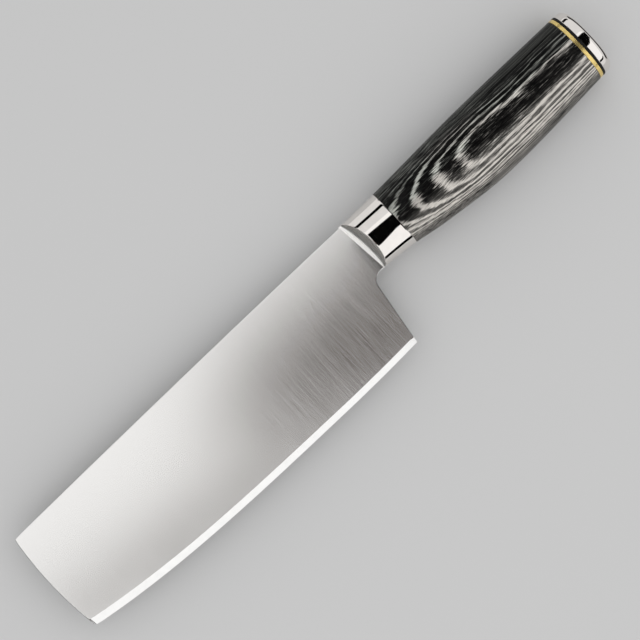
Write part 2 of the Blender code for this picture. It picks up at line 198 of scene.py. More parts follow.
class Value:
    """An output of a node tree. Python's arithmetic on it adds Math nodes to the tree."""

    def __init__(self, socket):
        self.socket = socket
        self.tree = socket.id_data

    def output(self, name):
        """Another output of the same node."""
        return Value(self.socket.node.outputs[name])

    def math(self, operation, *others, first=None):
        operands = [self, *others] if first is None else [first, self, *others]
        sockets = dict(enumerate(operands))
        return Graph(self.tree).add("ShaderNodeMath", sockets, operation=operation)

    def __add__(self, other):
        return self.math("ADD", other)

    def __mul__(self, other):
        return self.math("MULTIPLY", other)

    def __sub__(self, other):
        return self.math("SUBTRACT", other)

    def __rsub__(self, other):
        return self.math("SUBTRACT", first=other)

    def __truediv__(self, other):
        return self.math("DIVIDE", other)

    def __pow__(self, other):
        return self.math("POWER", other)

    def __abs__(self):
        return self.math("ABSOLUTE")

    __radd__ = __add__
    __rmul__ = __mul__


class Graph:
    """Adds nodes to one tree."""

    def __init__(self, tree):
        self.tree = tree

    def fill(self, node, sockets):
        """Links or sets a node's inputs."""
        for key, value in sockets.items():
            if isinstance(value, Value):
                self.tree.links.new(value.socket, node.inputs[key])
            else:
                node.inputs[key].default_value = value

    def add(self, kind, sockets=None, out=0, **settings):
        """Adds a node, makes its settings and fills its inputs. The result is one of its outputs."""
        node = self.tree.nodes.new(kind)
        for name, value in settings.items():
            setattr(node, name, value)
        self.fill(node, sockets or {})
        return Value(node.outputs[out]) if node.outputs else None

    def components(self, vector):
        """A vector's X, Y and Z."""
        split = self.add("ShaderNodeSeparateXYZ", {0: vector})
        return split, split.output("Y"), split.output("Z")

    def ramp(self, value, low, high, new_low=0.0, new_high=1.0):
        """A smooth step from new_low to new_high while value goes from low to high."""
        sockets = {"Value": value, "From Min": low, "From Max": high, "To Min": new_low, "To Max": new_high}
        return self.add("ShaderNodeMapRange", sockets, interpolation_type="SMOOTHSTEP")

    def blend(self, share, first, second):
        """A colour between two others, each a colour or an output."""
        first, second = (c if isinstance(c, Value) else (*c, 1.0) for c in (first, second))
        sockets = {"Factor": share, 6: first, 7: second}
        return self.add("ShaderNodeMix", sockets, out=2, data_type="RGBA")


def clamped(number):
    """A number or a Value, held between 0 and 1."""
    if isinstance(number, Value):
        return number.math("MAXIMUM", 0.0).math("MINIMUM", 1.0)
    return min(max(number, 0.0), 1.0)


def signed_power(base, power):
    """base ** power with the sign of base, for a number or a Value."""
    if isinstance(base, Value):
        return base.math("SIGN") * abs(base) ** power
    return math.copysign(abs(base) ** power, base)


def smooth_line(knots):
    """A function of x, a number or a Value, on a smooth curve through (x, height) knots."""
    slopes = []
    for i in range(len(knots)):
        before, after = knots[max(i - 1, 0)], knots[min(i + 1, len(knots) - 1)]
        slopes.append((after[1] - before[1]) / (after[0] - before[0]))

    def height(x):
        total = knots[0][1]
        for (x0, y0), (x1, y1), slope0, slope1 in zip(knots, knots[1:], slopes, slopes[1:]):
            t = clamped((x - x0) / (x1 - x0))
            swing = slope0 * (1 - t) - slope1 * t
            total = total + (y1 - y0) * (3 - 2 * t) * t * t + (x1 - x0) * t * (1 - t) * swing
        return total

    return height


# Shape of the handle


handle_top = smooth_line([
    (BOLSTER_FRONT, SPINE_HEIGHT + RISE_AT_FRONT),
    (0, SPINE_HEIGHT + RISE_AT_BOLSTER),
    (BELLY_AT, SPINE_HEIGHT + RISE_AT_BELLY),
    (CAP_END, SPINE_HEIGHT + RISE_AT_BUTT),
])
handle_bottom = smooth_line([
    (BOLSTER_FRONT, -BOTTOM_AT_FRONT),
    (0, -BOTTOM_AT_BOLSTER),
    (THROAT_AT, -BOTTOM_AT_THROAT),
    (BELLY_AT, -BOTTOM_AT_BELLY),
    (CAP_END, -BOTTOM_AT_BUTT),
])
handle_side = smooth_line([
    (BOLSTER_FRONT, SIDE_AT_FRONT),
    (0, SIDE_AT_BOLSTER),
    (BELLY_AT, SIDE_AT_BELLY),
    (CAP_END, SIDE_AT_BUTT),
])


def section(x, cosine, sine, inset=0.0, share=1.0):
    """(y, z) on the handle's outline at x, drawn in by inset and scaled about the middle by share."""
    inset = inset + SKIN
    top, bottom = handle_top(x) - inset, handle_bottom(x) + inset
    y = (top + bottom) / 2 + (top - bottom) / 2 * share * signed_power(cosine, 2 / OVAL_POWER)
    return y, (handle_side(x) - inset) * share * signed_power(sine, 2 / OVAL_POWER)


SLICE_SIZES = ("Start", "End", "Front Corner", "End Corner", "End Turn", "End Rows", "Dome")
SLICE_INPUTS = {
    **dict.fromkeys(SLICE_SIZES, "NodeSocketFloat"),
    "Rows": "NodeSocketInt",
    "Finish": "NodeSocketMaterial",
}
POINTS_ROUND = 192
FRONT_ROWS = 0.08  # share of a slice's rows that round its front corner, as End Rows is at its end
CAP_FACE_ROWS = 10
CAP_RIM_TURN = math.radians(80)  # how far the cap's rim turns in before its domed face


def handle_slice_tree():
    """The node tree of a slice of the handle: a capped tube on the handle's outline, with rounded corners."""
    tree = bpy.data.node_groups.new("handle_slice", "GeometryNodeTree")
    tree.is_modifier = True
    for name, kind in SLICE_INPUTS.items():
        tree.interface.new_socket(name=name, in_out="INPUT", socket_type=kind)
    tree.interface.new_socket(name="Mesh", in_out="OUTPUT", socket_type="NodeSocketGeometry")
    graph = Graph(tree)
    size = graph.add("NodeGroupInput").output

    counts = {"Vertices": POINTS_ROUND, "Side Segments": size("Rows"), "Fill Segments": CAP_FACE_ROWS}
    sockets = {**counts, "Radius": 1.0, "Depth": 1.0}
    tube = graph.add("GeometryNodeMeshCylinder", sockets, fill_type="TRIANGLE_FAN")
    across, up, level = graph.components(graph.add("GeometryNodeInputPosition"))
    along = level + 0.5
    share = (across * across + up * up).math("SQRT")
    reach = share.math("MAXIMUM", 1e-6)

    front_angle = clamped(1 - along / FRONT_ROWS) * (math.pi / 2)
    end_share = size("End Rows")
    end_angle = clamped((along - 1 + end_share) / end_share) * size("End Turn")
    straight = clamped((along - FRONT_ROWS) / (1 - FRONT_ROWS - end_share))
    flat_start = size("Start") + size("Front Corner")
    flat_end = size("End") - size("Dome") - size("End Corner")
    x = flat_start + (flat_end - flat_start) * straight
    x = x - size("Front Corner") * front_angle.math("SINE") + size("End Corner") * end_angle.math("SINE")
    inset = size("Front Corner") * (1 - front_angle.math("COSINE"))
    inset = inset + size("End Corner") * (1 - end_angle.math("COSINE"))
    y, z = section(x, across / reach, up / reach, inset, share)
    domed_x = x + (size("End") - x) * (1 - share * share) * along

    point = graph.add("ShaderNodeCombineXYZ", {0: domed_x + ORIGIN.x, 1: y + ORIGIN.y, 2: z + ORIGIN.z})
    placed = graph.add("GeometryNodeSetPosition", {"Geometry": tube, "Position": point})
    smooth = graph.add("GeometryNodeSetShadeSmooth", {"Geometry": placed, "Shade Smooth": True})
    real = graph.add("GeometryNodeRealizeInstances", {"Geometry": smooth})
    finished = graph.add("GeometryNodeSetMaterial", {"Geometry": real, "Material": size("Finish")})
    graph.add("NodeGroupOutput", {"Mesh": finished})
    return tree


# Making pieces

SHARP_ANGLE = math.radians(35)
ROD_SIDES = 64


def new_piece(name, mesh):
    piece = bpy.data.objects.new(name, mesh)
    bpy.context.scene.collection.objects.link(piece)
    return piece


def finished_mesh(bm, name):
    mesh = bpy.data.meshes.new(name)
    bm.to_mesh(mesh)
    bm.free()
    return mesh


def bake_modifiers(piece):
    """Turns what the piece's modifiers make into its plain mesh."""
    bpy.context.view_layer.update()
    graph = bpy.context.evaluated_depsgraph_get()
    mesh = bpy.data.meshes.new_from_object(piece.evaluated_get(graph))
    piece.modifiers.clear()
    piece.data = mesh
    mesh.name = piece.name
    return piece


def slice_of_handle(name, finish, **sizes):
    """A piece cut from the handle's form. Sizes are given by the names of the tree's inputs.

    Both ends are flat with the usual corner, where sizes says nothing else.
    """
    corner = bpy.context.scene.nakiri_handle.corner
    sizes = {"front_corner": corner, "end_corner": corner, "end_turn": math.pi / 2, "dome": 0.0, **sizes}
    tree = bpy.data.node_groups.get("handle_slice") or handle_slice_tree()
    piece = new_piece(name, bpy.data.meshes.new(name))
    modifier = piece.modifiers.new("slice", "NODES")
    modifier.node_group = tree
    values = {"finish": finish, **sizes}
    for item in tree.interface.items_tree:
        if item.in_out == "INPUT":
            modifier[item.identifier] = values[item.name.lower().replace(" ", "_")]
    return bake_modifiers(piece)


def rod_along_x(radius, start, end):
    """A round helper from start to end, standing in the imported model's frame."""
    bm = bmesh.new()
    middle = ORIGIN + Vector(((start + end) / 2, 0, 0))
    bmesh.ops.create_cone(
        bm,
        cap_ends=True,
        segments=ROD_SIDES,
        radius1=radius,
        radius2=radius,
        depth=end - start,
        matrix=Matrix.Translation(middle) @ Matrix.Rotation(math.pi / 2, 4, "Y"),
    )
    return new_piece("helper", finished_mesh(bm, "helper"))


def with_rods(piece, rods, operation="DIFFERENCE"):
    """Takes round rods, each (radius, start, end), away from a piece or joins them to it."""
    helpers = [rod_along_x(*rod) for rod in rods]
    for helper in helpers:
        boolean = piece.modifiers.new("rod", "BOOLEAN")
        boolean.operation = operation
        boolean.solver = "EXACT"
        boolean.object = helper
    bake_modifiers(piece)
    for helper in helpers:
        bpy.data.objects.remove(helper)
    return piece


def stand_for(piece, node, slot):
    """Ends the making of a piece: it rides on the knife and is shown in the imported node's place."""
    piece.data.set_sharp_from_angle(angle=SHARP_ANGLE)
    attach(piece, "root")
    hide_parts(node)


def steps(start, end, count):
    return [start + (end - start) * i / count for i in range(count + 1)]


def close_skin(bm, rows):
    """Smooth faces between closed rows of as many vertices each, and one over each end."""
    for near, far in zip(rows, rows[1:]):
        for i in range(len(near)):
            bm.faces.new((near[i - 1], near[i], far[i], far[i - 1]))
    bm.faces.new(rows[0])
    bm.faces.new(rows[-1])
    bmesh.ops.recalc_face_normals(bm, faces=bm.faces)
    for face in bm.faces:
        face.smooth = True


# Blade


def spine(x):
    """Height of the spine: a shallow arc, then a short ramp up to the bolster's top."""
    ramp_start = BOLSTER_FRONT - NECK_RAMP / 2
    along = max(ramp_start - x, 0) / (BLADE_REACH + ramp_start)
    rise = clamped((x - ramp_start) / NECK_RAMP)
    ease = rise * rise * (3 - 2 * rise)
    return SPINE_HEIGHT - SPINE_DROP * along**2 + (handle_top(max(x, BOLSTER_FRONT)) - SPINE_HEIGHT) * ease


def cutting_edge(x):
    reach = -x - EDGE_LOW_REACH
    if reach > 0:
        return EDGE_FRONT_RISE * (reach / (BLADE_REACH - EDGE_LOW_REACH)) ** EDGE_FRONT_POWER - EDGE_DEPTH
    return EDGE_HEEL_RISE * (reach / (EDGE_LOW_REACH - HEEL_REACH)) ** 2 - EDGE_DEPTH


def bevel_line(x):
    share = (-x - HEEL_REACH) / (BLADE_REACH - HEEL_REACH)
    return cutting_edge(x) + BEVEL_WIDTH_HEEL + (BEVEL_WIDTH_FRONT - BEVEL_WIDTH_HEEL) * share


def half_thickness(y):
    bevel_y = bevel_line(-HEEL_REACH)
    share = (y - bevel_y) / (SPINE_HEIGHT - bevel_y)
    return (BEHIND_EDGE + (SPINE_THICKNESS - BEHIND_EDGE) * share) / 2


def bevel_height(x, y):
    """Half of the thickness on the bevel's plane."""
    edge, shoulder = cutting_edge(x), bevel_line(x)
    share = (y - edge) / (shoulder - edge)
    return EDGE_THICKNESS / 2 + (half_thickness(shoulder) - EDGE_THICKNESS / 2) * share


def blade_front(y, inset):
    top, low = spine(-BLADE_REACH), cutting_edge(-BLADE_REACH)
    share = (y - (top + low) / 2) / ((top - low) / 2)
    return -BLADE_REACH + FRONT_BOW * share * share + inset


def heel(y, inset):
    return -HEEL_REACH + math.tan(HEEL_LEAN) * (y - cutting_edge(-HEEL_REACH)) - inset


def rounded(before, corner, after, radius, count=10):
    """Points of an arc that rounds the corner between the directions to its neighbours."""
    before, corner, after = Vector(before), Vector(corner), Vector(after)
    back, on = (before - corner).normalized(), (after - corner).normalized()
    half_angle = back.angle(on) / 2
    centre = corner + (back + on).normalized() * radius / math.sin(half_angle)
    start = corner + back * radius / math.tan(half_angle) - centre
    sweep = start.angle_signed(corner + on * radius / math.tan(half_angle) - centre)
    return [centre + Matrix.Rotation(-angle, 2) @ start for angle in steps(0, sweep, count)]


def along(xs, height):
    return [Vector((x, height(x))) for x in xs]


def blade_outline(inset, above_edge):
    """The blade's side outline, drawn in by inset. Its lower line runs above_edge(x) over the edge."""

    def top_line(x):
        return spine(x) - inset

    def lower_line(x):
        return cutting_edge(x) + above_edge(x)

    def neck_line(x):
        return handle_bottom(x) + inset

    def front_point(y):
        return blade_front(y, inset), y

    ramp_start = BOLSTER_FRONT - NECK_RAMP / 2
    top_y, low_y = top_line(-BLADE_REACH), lower_line(-BLADE_REACH)
    top_corner, middle, low_corner = (front_point(y) for y in (top_y, (top_y + low_y) / 2, low_y))
    top_round = rounded((ramp_start, SPINE_HEIGHT - inset), top_corner, middle, TOP_CORNER_RADIUS - inset)
    behind_corner = low_corner[0] + LOW_CORNER_RADIUS
    after = (behind_corner, lower_line(behind_corner))
    low_round = rounded(middle, low_corner, after, LOW_CORNER_RADIUS - inset)
    heel_y = lower_line(-HEEL_REACH)
    heel_start = (heel(heel_y, inset), heel_y)
    over_heel = heel_y + 2 * CORNER_RUN
    neck_y = neck_line(BOLSTER_FRONT)
    choil_corner = (heel(neck_y, inset), neck_y)

    points = along((TANG_END, NECK_END), lambda x: TANG_HEIGHT / 2)
    points += along(steps(NECK_END, ramp_start, NECK_STEPS), top_line)
    points += along(steps(ramp_start, top_round[0].x, SPINE_STEPS)[1:-1], top_line)
    points += top_round
    points += [Vector(front_point(y)) for y in steps(top_round[-1].y, low_round[0].y, FRONT_STEPS)[1:-1]]
    points += low_round
    points += along(steps(low_round[-1].x, heel_start[0], EDGE_STEPS)[1:], lower_line)
    points.append(Vector((heel(over_heel, inset), over_heel)))
    points += rounded(heel_start, choil_corner, (NECK_END, neck_y), CHOIL_RADIUS + inset, CHOIL_STEPS)
    points += along(steps(BOLSTER_FRONT, NECK_END, NECK_STEPS), neck_line)
    points += along((NECK_END, TANG_END), lambda x: -TANG_HEIGHT / 2)
    return points


def rim_share(p, inset):
    """1 where the outline's rim is rounded off, 0 along the bevel, and a short run between in front."""
    if p.y > bevel_line(p.x) + CORNER_RUN:
        return 1
    front_x = blade_front(cutting_edge(-BLADE_REACH), 0)
    return clamped(1 - (p.x - front_x - inset) / CORNER_RUN)


def blade_mesh(chamfer, shoulder):
    """Two flat cheeks, rounded off to the spine, front, heel and bevels, with a thin edge between."""
    support = chamfer / 2

    def bevel_width(x):
        return bevel_line(x) - cutting_edge(x)

    # For each line from the cheek to the middle: inset, height over the edge, drop from the cheek and share
    bevel_cut = chamfer * (1 - math.sqrt(0.5))
    lines = [
        (chamfer + support, lambda x: bevel_width(x) + 2 * shoulder, 0.0, 1.0),
        (chamfer, lambda x: bevel_width(x) + shoulder, 0.0, 1.0),
        (bevel_cut, lambda x: bevel_width(x) - shoulder, bevel_cut, 1.0),
        (0.0, lambda x: bevel_width(x) - 2 * shoulder, chamfer, 1.0),
        (0.0, lambda x: 0.0, chamfer, 0.5),
    ]
    side = []
    for inset, above_edge, drop, share in lines:
        ring = []
        for p in blade_outline(inset, above_edge):
            thick, rim = half_thickness(p.y), rim_share(p, inset)
            z = min(thick * (1 - rim) + (thick - drop) * share * rim, bevel_height(p.x, p.y))
            ring.append(Vector((p.x, p.y, z)))
        side.append(ring)
    far_side = [[Vector((p.x, p.y, -p.z)) for p in ring] for ring in reversed(side)]
    bm = bmesh.new()
    close_skin(bm, [[bm.verts.new(p + ORIGIN) for p in ring] for ring in side + far_side])
    cheeks = sorted(bm.faces, key=lambda face: face.calc_area())[-2:]
    bmesh.ops.triangulate(bm, faces=cheeks)
    for face in bm.faces:
        face.material_index = 1 if EDGE_TILT < abs(face.normal.z) < CHEEK_TILT else 0
    return finished_mesh(bm, "satin_blade")


# Bolster


def bolster_mesh(length, dip, dip_reach):
    """The bolster as one skin: a concave scoop from the blade up to an arched crest, then the handle's oval.

    The rows of the skin follow the crest, so that it stays crisp. The attribute scoop is 1 on the concave
    part, 0.5 on the crest and 0 behind it.
    """
    bm = bmesh.new()
    scoop = bm.verts.layers.float.new("scoop")
    angles = [math.tau * i / BOLSTER_COLUMNS for i in range(BOLSTER_COLUMNS)]
    crests = []
    for angle in angles:
        y, _ = section(BOLSTER_FRONT, math.cos(angle), 0.0)
        off = clamped(abs(y - CREST_MIDDLE) / CREST_HALF_HEIGHT)
        crests.append(max(CREST_REACH * math.sqrt(1 - off * off), CREST_LEAST))

    def vertex(behind_front, angle, crest, inset, is_scoop):
        x = BOLSTER_FRONT + behind_front
        lean = math.tan(BOLSTER_LEAN) * clamped(x / BOLSTER_FRONT)
        y, z = section(x, math.cos(angle), math.sin(angle), inset)
        base = half_thickness(y) - SCOOP_SINK
        over = max(abs(z) - base, 0)
        past = behind_front - crest
        lost = min(dip / over, 0.5) if over > 0 else 0
        if past <= 0:
            t = clamped(behind_front / crest)
            curve = SCOOP_START_SLOPE * t + (1 - SCOOP_START_SLOPE) * t**SCOOP_STEEPNESS
            rise = curve * (1 - lost)
        else:
            rise = 1 - lost * math.exp(-past / dip_reach)
        height = min(abs(z), base) + over * rise
        vert = bm.verts.new(ORIGIN + Vector((x - lean * y, y, math.copysign(height, z))))
        vert[scoop] = is_scoop
        return vert

    rows = []

    def add_row(places, inset=0.0, is_scoop=0.0):
        """A row of vertices round the bolster. The places are their distances behind its front."""
        columns = zip(places, angles, crests)
        rows.append([vertex(place, angle, crest, inset, is_scoop) for place, angle, crest in columns])

    for share in steps(0, 1, SCOOP_ROWS):
        places = [crest * share - SCOOP_ENTRY * (1 - share) for crest in crests]
        add_row(places, is_scoop=1.0 if share < 1 else 0.5)
    for i in range(1, BAND_ROWS + 1):
        distance = CREST_BAND * (i / BAND_ROWS) ** CREST_BAND_POWER
        add_row([crest + distance for crest in crests])
    body_end = length - BOLSTER_CORNER
    for share in steps(0, 1, BODY_ROWS)[1:]:
        add_row([(crest + CREST_BAND) * (1 - share) + body_end * share for crest in crests])
    for angle in steps(0, math.pi / 2, CORNER_ROWS)[1:]:
        place = body_end + BOLSTER_CORNER * math.sin(angle)
        add_row([place] * BOLSTER_COLUMNS, inset=BOLSTER_CORNER * (1 - math.cos(angle)))
    close_skin(bm, rows)
    return finished_mesh(bm, "polished_bolster")


# Finishes


class Finish(Graph):
    """A new material whose only shader is a Principled one."""

    def __init__(self, name):
        self.material = bpy.data.materials.new(name)
        self.material.use_nodes = True
        super().__init__(self.material.node_tree)

    @cached_property
    def place(self):
        """Where a point lies in the knife's own frame, in millimetres."""
        sockets = {"Location": -ORIGIN / MM, "Scale": (1 / MM, 1 / MM, 1 / MM)}
        sockets["Vector"] = self.add("ShaderNodeTexCoord", out="Object")
        return self.add("ShaderNodeMapping", sockets)

    def noise(self, scale, detail=2.0, roughness=0.5, offset=(0, 0, 0)):
        """Noise from about 0.25 to 0.75, with scale in waves per millimetre along each axis."""
        stretched = self.add("ShaderNodeVectorMath", {0: self.place, 1: scale}, operation="MULTIPLY")
        moved = self.add("ShaderNodeVectorMath", {0: stretched, 1: offset}, operation="ADD")
        sockets = {"Vector": moved, "Scale": 1.0, "Detail": detail, "Roughness": roughness}
        return self.add("ShaderNodeTexNoise", sockets)

    def bump(self, height, distance):
        """A normal from a height of 0 to 1 that stands for distance metres."""
        return self.add("ShaderNodeBump", {"Strength": 1.0, "Distance": distance, "Height": height})

    def shade(self, sockets):
        """Fills the shader. The result is the finished material."""
        self.fill(self.tree.nodes["Principled BSDF"], sockets)
        return self.material

    def metal(self, tone, rough, normal, metallic=1.0):
        return self.shade({"Base Color": tone, "Metallic": metallic, "Roughness": rough, "Normal": normal})


def shaded(colour, factor):
    return tuple(min(factor * channel, 1.0) for channel in colour)


def satin_steel(name, colour, roughness):
    """Steel ground from the spine to the edge: fine lines along Y, broader bands and a few stray scratches.

    The lines are clearest low down at the heel, and faint towards the front and the spine.
    """
    graph = Finish(name)
    x, y, _ = graph.components(graph.place)
    clear = graph.ramp(x, -125.0, -45.0, 0.2, 0.88) * graph.ramp(y, -32.0, -5.0, 1.3, 0.55)
    fine = graph.noise((3.0, 0.06, 0.4), detail=1.0, roughness=0.6)
    broad = graph.noise((1.4, 0.03, 0.1), detail=1.0, offset=(3.1, 0, 0))
    patch = graph.noise((0.2, 0.08, 0.1), detail=1.0, offset=(0, 4.2, 0))
    cloud = graph.noise((0.03, 0.03, 0.03), detail=2.0, offset=(0, 7.7, 0))
    stray = graph.noise((4.0, 0.03, 0.3), detail=1.0, offset=(0, 0, 5.3))
    scratch = graph.ramp(stray, 0.68, 0.76)
    lines = 0.5 + (1.1 * fine + 0.3 * broad - 0.7) * clear * graph.ramp(patch, 0.3, 0.7, 0.8, 1.2)
    light = 0.93 + 0.19 * (lines - 0.5) + 0.05 * cloud - 0.08 * clear * scratch
    tone = graph.blend(clamped(light), (0, 0, 0), colour)
    rough = roughness * (0.9 + 0.35 * (lines - 0.5) + 0.2 * cloud)
    return graph.metal(tone, rough, graph.bump(lines - 0.1 * scratch, 0.001 * MM))


def polished_steel(name, colour, roughness, scooped=False):
    """Mirror steel with faint haze and hairlines. Where the attribute scoop is 1 it is satin instead, and its
    tone turns almost white there: a painted highlight for the scoop's bright crescent.
    """
    graph = Finish(name)
    haze = graph.noise((0.25, 0.25, 0.25), detail=3.0)
    hair = graph.noise((0.3, 9.0, 9.0), detail=2.0, roughness=0.6, offset=(4.4, 0, 0))
    hairline = graph.ramp(hair, 0.66, 0.78)
    tone = graph.blend(clamped(0.92 + 0.12 * haze - 0.06 * hairline), (0, 0, 0), colour)
    rough = roughness * (0.6 + 0.8 * haze) + 0.05 * hairline
    height = 0.3 * haze - hairline
    if scooped:
        satin = graph.add("ShaderNodeAttribute", out="Fac", attribute_name="scoop")
        grain = graph.noise((5.0, 0.05, 0.8), detail=2.0, offset=(0, 0, 9.1))
        # Painted highlight: in the scoop the tone goes almost white so its crescent reads brighter; the
        # roughness and grain added below are its real satin finish
        tone = graph.blend(satin * (0.75 + 0.5 * (grain - 0.5)), tone, (0.97, 0.96, 0.94))
        rough = rough + satin * (0.16 + 0.12 * grain)
        height = height + satin * 1.5 * grain
    return graph.metal(tone, rough, graph.bump(height, 0.0006 * MM))


def brass(name, colour):
    graph = Finish(name)
    patina = graph.noise((0.5, 0.35, 0.35), detail=4.0, roughness=0.6)
    turned = graph.noise((14.0, 0.15, 0.15), detail=2.0, offset=(0, 2.2, 0))
    worn = graph.ramp(patina + 0.5 * (turned - 0.5), 0.45, 0.75)
    tone = graph.blend(worn, colour, shaded(colour, 0.72))
    rough = 0.14 + 0.12 * patina + 0.08 * turned
    return graph.metal(tone, rough, graph.bump(turned, 0.0004 * MM), metallic=0.85)


def pressed_fibre(name, colour):
    """Black fibre sheet: matt, with short fibres in its cut edge."""
    graph = Finish(name)
    fibres = graph.noise((9.0, 1.5, 1.5), detail=3.0, roughness=0.7)
    mottle = graph.noise((0.8, 0.8, 0.8), detail=2.0, offset=(1.7, 0, 0))
    tone = graph.blend(graph.ramp(0.6 * fibres + 0.4 * mottle, 0.35, 0.7), colour, shaded(colour, 2.6))
    rough = 0.38 + 0.3 * fibres
    normal = graph.bump(fibres, 0.01 * MM)
    sockets = {"Base Color": tone, "Roughness": rough, "Normal": normal, "Specular IOR Level": 0.15}
    return graph.shade(sockets)


def veneer_level(graph, layer):
    """How many veneers lie under a point. They are glued up through the thickness, and bow and wave a little.

    Along X in millimetres behind the bolster, the ramps draw the ovals: they bow, shift and fray the layers.
    """
    x, y, z = graph.components(graph.place)
    spread = graph.ramp(x, 10.0, 65.0, 0.012, 0.0)
    bow = graph.ramp(x, 40.0, 68.0, 0.03, -0.30) - graph.ramp(x, 76.0, 100.0, 0.0, 0.05)
    bow = bow + spread * y * y * (1 - y * y / 16.0**2) - graph.ramp(x, 48.0, 66.0, 0.0, 0.022) * y
    streak = graph.ramp(x, 52.0, 74.0, 0.42, 0.55)
    drift = graph.noise((0.02, 0.06, 0.05), detail=1.0, offset=(5.0, 1.0, 2.0)) - 0.5
    wave = graph.noise((0.06, 0.3, 0.3), detail=2.0, offset=(1.0, 8.0, 3.0)) - 0.5
    comb = graph.noise((0.09, 1.9, 1.9), detail=3.0, roughness=0.65, offset=(9.0, 0.0, 4.0)) - 0.5
    return (z + bow + 0.5 * drift + 0.4 * wave + streak * comb) / (layer / MM)


def laminated_wood(name, dark, pale, layer):
    """Dyed veneers, black and grey by turns, which the handle's rounded sides cut into nested ovals.

    The share of the pale veneer is worked out first for the side that is seen, and then for each zone of it.
    Darker above and paler below is partly the veneers' dye and partly painted shade and painted sheen.
    """
    graph = Finish(name)
    x, y, _ = graph.components(graph.place)
    level = veneer_level(graph, layer)
    by_layer = {"W": level * 0.9, "Scale": 1.0, "Detail": 0.0}
    uneven = graph.add("ShaderNodeTexNoise", by_layer, noise_dimensions="1D")
    grain = graph.noise((0.13, 2.1, 2.1), detail=3.0, roughness=0.7, offset=(2.0, 5.0, 0.0))
    fibre = graph.noise((0.2, 4.2, 4.2), detail=3.0, roughness=0.65, offset=(7.0, 1.0, 5.0))
    pore = graph.ramp(graph.noise((0.22, 3.6, 3.6), detail=2.0, offset=(0.0, 3.0, 6.0)), 0.56, 0.68)
    wisp = graph.ramp(graph.noise((0.08, 2.2, 2.2), detail=3.0, offset=(4.0, 0.0, 8.0)), 0.56, 0.74)
    line = graph.noise((0.02, 3.2, 3.2), detail=3.0, roughness=0.6, offset=(3.0, 6.0, 2.0)) - 0.5
    blotch = graph.noise((0.035, 0.25, 0.25), detail=2.0, offset=(6.0, 2.0, 1.0)) - 0.5

    # Partly dye, partly painted light: the upper side is made darker, more so toward the butt, as painted
    # shade, and the lower side paler, as painted sheen
    upper_dye_and_shade, top = graph.ramp(y, 3.0, 9.0), graph.ramp(y, 8.5, 12.0)
    lower_dye_and_sheen = graph.ramp(y, -2.0, -8.0)
    lowest = graph.ramp(y - handle_bottom(x * MM) / MM, 3.8, 1.6)
    near, far = graph.ramp(x, 28.0, 8.0), graph.ramp(x, 45.0, 75.0)

    pale_veneer = 0.5 + 0.5 * (level * math.pi).math("SINE")
    shade = 1.05 * pale_veneer**3 - 0.13 + 1.3 * (uneven - 0.5)
    # Painted shade and sheen, mixed with dye: the upper side darkened and the lower side lightened here and
    # in the share below
    shade = shade + 2.7 * (grain - 0.5) + 2.0 * (fibre - 0.5) + blotch - 0.26 * upper_dye_and_shade + 0.48 * lower_dye_and_sheen
    share = graph.ramp(shade, 0.16, 1.30) * (1 - 0.55 * pore)
    share = share + 0.14 * (1 + far) * wisp + 0.04 * graph.ramp(fibre, 0.48, 0.72)
    share = share * (1 - upper_dye_and_shade * (0.45 + 0.3 * far)) * (1 - 0.35 * near * (1 - lower_dye_and_sheen))
    zones = (
        (lower_dye_and_sheen, 0.2, 0.22 * fibre + 0.6 * line),
        (top, 0.75, (0.04 + line) * (1 - 0.5 * far)),
        (lowest, 0.75, 0.03 + 1.2 * line + 0.3 * blotch),
    )
    for zone, loss, gain in zones:
        share = share * (1 - loss * zone) + gain * zone

    tint = graph.noise((0.015, 0.12, 0.12), detail=1.0, offset=(0.0, 0.0, 11.0))
    red, green, blue = pale
    cool = (0.95 * red, green, 0.945 * blue)
    warm = (1.01 * red, 0.985 * green, 0.94 * blue)
    # Partly random dye tint, partly painted sheen: the term with y makes the pale veneers warmer toward the
    # lower side
    pale_tone = graph.blend(graph.ramp(tint - 0.02 * y, 0.4, 0.6), cool, warm)
    sockets = {
        "Base Color": graph.blend(clamped(share), dark, pale_tone),
        "Roughness": 0.45 + 0.15 * fibre,
        "Normal": graph.bump(fibre + grain - pore, 0.004 * MM),
        "Coat Weight": 0.4 + 0.2 * grain,
        "Coat Roughness": 0.10,
        "Coat IOR": 1.2,
        "Specular IOR Level": 0.06,
    }
    return graph.shade(sockets)


def hidden_metal(name, colour, roughness, grain):
    """Unpolished metal inside the handle: turned or drawn lines along grain, with dull spots."""
    graph = Finish(name)
    lines = graph.noise(grain, detail=3.0, roughness=0.6)
    spots = graph.noise((0.6, 0.6, 0.6), detail=4.0, roughness=0.7, offset=(8.0, 0, 0))
    tone = graph.blend(graph.ramp(spots, 0.4, 0.7), colour, shaded(colour, 0.6))
    rough = roughness * (0.6 + 0.5 * lines + 0.5 * spots)
    return graph.metal(tone, rough, graph.bump(lines + spots, 0.01 * MM))


def cured_glue(name, colour):
    graph = Finish(name)
    swirl = graph.noise((0.2, 0.4, 0.4), detail=3.0)
    bubbles = graph.add("ShaderNodeTexVoronoi", {"Vector": graph.place, "Scale": 1.4}, out="Distance")
    bubble = graph.ramp(bubbles, 0.05, 0.14, 1.0, 0.0)
    tone = graph.blend(graph.ramp(swirl, 0.35, 0.65), colour, shaded(colour, 1.3))
    rough = 0.35 + 0.25 * swirl
    normal = graph.bump(swirl - bubble, 0.05 * MM)
    return graph.shade({"Base Color": tone, "Roughness": rough, "Normal": normal})


